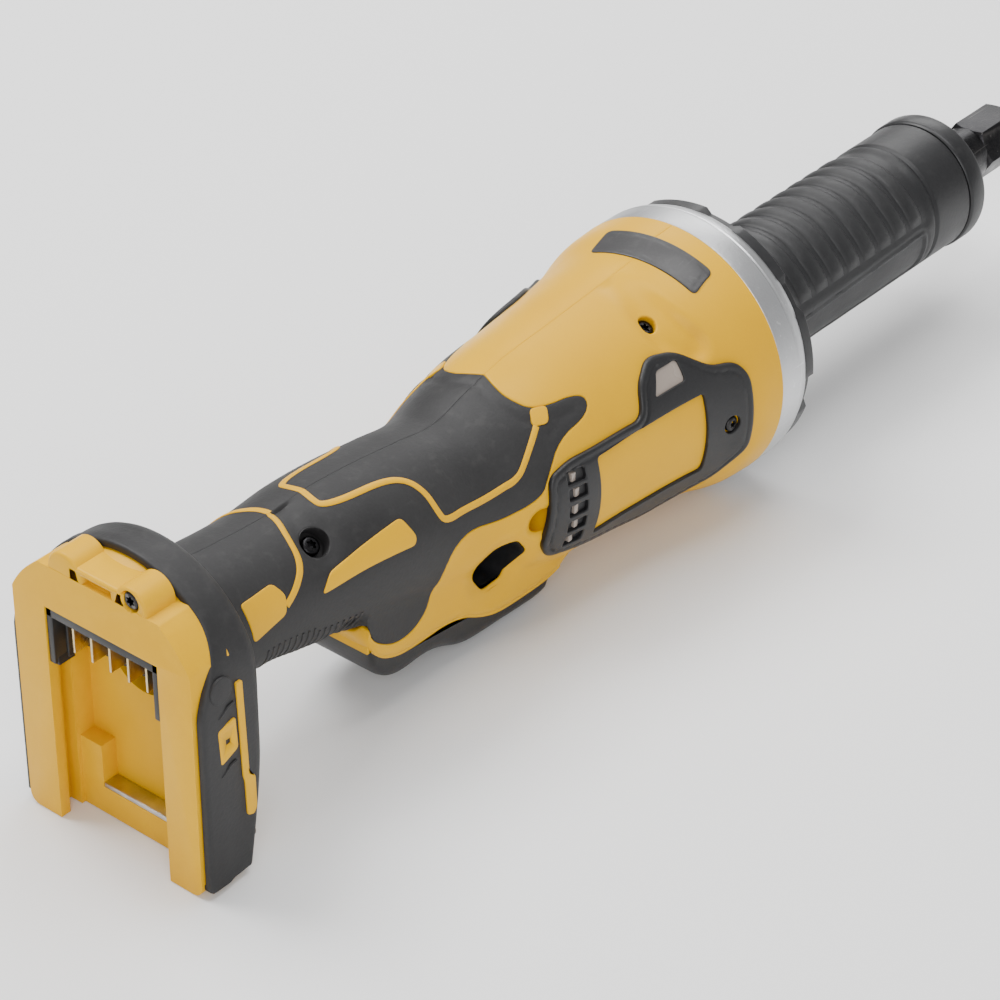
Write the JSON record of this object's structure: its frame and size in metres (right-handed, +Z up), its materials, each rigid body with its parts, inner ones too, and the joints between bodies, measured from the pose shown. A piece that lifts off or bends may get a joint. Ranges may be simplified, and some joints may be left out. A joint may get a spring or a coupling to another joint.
{
  "type": "cordless die grinder",
  "caption": "Cordless die grinder with a slide-in battery foot, a rubber-covered grip, an underside paddle switch with a lock-off lever, a long sleeved nose and a collet.",
  "frame": {"origin": "centre of the collet mouth, on the spindle axis", "axes": "+X along the spindle and out of the collet, +Y to the tool's left, +Z up, away from the paddle"},
  "size_m": [0.445, 0.0914, 0.097],
  "materials": {
    "yellow_housing": "fine-grained moulded nylon, yellow",
    "black_rubber": "soft overmould, matt black",
    "black_plastic": "moulded nylon, black",
    "grey_plate": "flat plate, dark grey",
    "grey_lens": "smooth, light grey",
    "black_steel": "black oxide",
    "bright_steel": "ground steel",
    "nickel": "nickel plated magnet",
    "terminal_metal": "tinned brass",
    "ring_aluminium": "die-cast, satin",
    "copper": "enamelled copper wire",
    "potting": "potting compound",
    "board_green": "circuit board",
    "red_lead": "silicone insulated lead",
    "lead_black": "silicone insulated lead",
    "red_plunger": "moulded acetal"
  },
  "bodies": {
    "housing": {"left_shell": "yellow_housing", "right_shell": "yellow_housing", "battery_frame": "yellow_housing", "foot_core": "yellow_housing", "left_rating_plate": "yellow_housing", "right_rating_plate": "yellow_housing", "left_grip_rubber": "black_rubber", "right_grip_rubber": "black_rubber", "foot_rubber": "black_rubber", "nose_sleeve": "black_rubber", "dust_seal": "black_rubber", "left_side_cover": "black_plastic", "right_side_cover": "black_plastic", "terminal_block": "black_plastic", "nose_flange": "black_plastic", "nose_cap": "black_plastic", "switch_body": "black_plastic", "bearing_bracket": "black_plastic", "fan_baffle": "black_plastic", "name_plate": "grey_plate", "status_lenses": "grey_lens", "intake_screens": "grey_lens", "housing_screws": "black_steel", "cover_screws": "black_steel", "frame_screws": "black_steel", "strike_plate": "bright_steel", "flange_screws": "bright_steel", "paddle_pin": "bright_steel", "paddle_spring": "bright_steel", "rear_motor_bearing": "bright_steel", "front_motor_bearing": "bright_steel", "rear_spindle_bearing": "bright_steel", "front_spindle_bearing": "bright_steel", "stator_core": "bright_steel", "terminal_blades": "terminal_metal", "front_ring": "ring_aluminium", "nose_tube": "ring_aluminium", "module_tray": "ring_aluminium", "stator_windings": "copper", "control_module": "potting", "sensor_board": "board_green", "battery_leads": "red_lead", "motor_leads": "lead_black", "switch_leads": "lead_black"},
    "rotor": {"rotor_shaft": "bright_steel", "rotor_core": "bright_steel", "rotor_magnets": "nickel", "motor_fan": "black_plastic", "shaft_coupling": "bright_steel", "spindle": "bright_steel", "bearing_spacer": "bright_steel"},
    "collet_body": {"collet": "bright_steel"},
    "nut": {"collet_nut": "black_steel"},
    "paddle_body": {"paddle": "black_plastic", "lock_off_pin": "bright_steel", "lock_off_spring": "bright_steel"},
    "lock_off": {"lock_off_lever": "black_plastic"},
    "plunger": {"switch_plunger": "red_plunger"}
  },
  "joints": [
    {"name": "spindle_spin", "type": "hinge", "parent": "housing", "child": "rotor", "pos_m": [-0.145, 0, 0], "axis": [1, 0, 0], "continuous": true},
    {"name": "collet_advance", "type": "slide", "parent": "rotor", "child": "collet_body", "axis": [1, 0, 0], "range_m": [0, 0.003]},
    {"name": "nut_turn", "type": "hinge", "parent": "collet_body", "child": "nut", "pos_m": [0, 0, 0], "axis": [1, 0, 0], "range_deg": [0, 1080]},
    {"name": "paddle_squeeze", "type": "hinge", "parent": "housing", "child": "paddle_body", "pos_m": [-0.279, 0, -0.031], "axis": [0, 1, 0], "range_deg": [0, 5], "stiffness_Nm_per_rad": 2, "springref_deg": -8.59, "deforming": ["paddle_spring"]},
    {"name": "lock_off_turn", "type": "hinge", "parent": "paddle_body", "child": "lock_off", "pos_m": [-0.323, 0, -0.032], "axis": [0, 1, 0], "range_deg": [0, 20], "stiffness_Nm_per_rad": 0.02, "springref_deg": -17.19},
    {"name": "plunger_press", "type": "slide", "parent": "housing", "child": "plunger", "axis": [0, 0, 1], "range_m": [0, 0.005]}
  ],
  "couplings": [
    {"joint": "nut_turn", "follows": "collet_advance", "rad_per_m": 6283},
    {"joint": "plunger_press", "follows": "paddle_squeeze", "m_per_rad": 0.054}
  ]
}
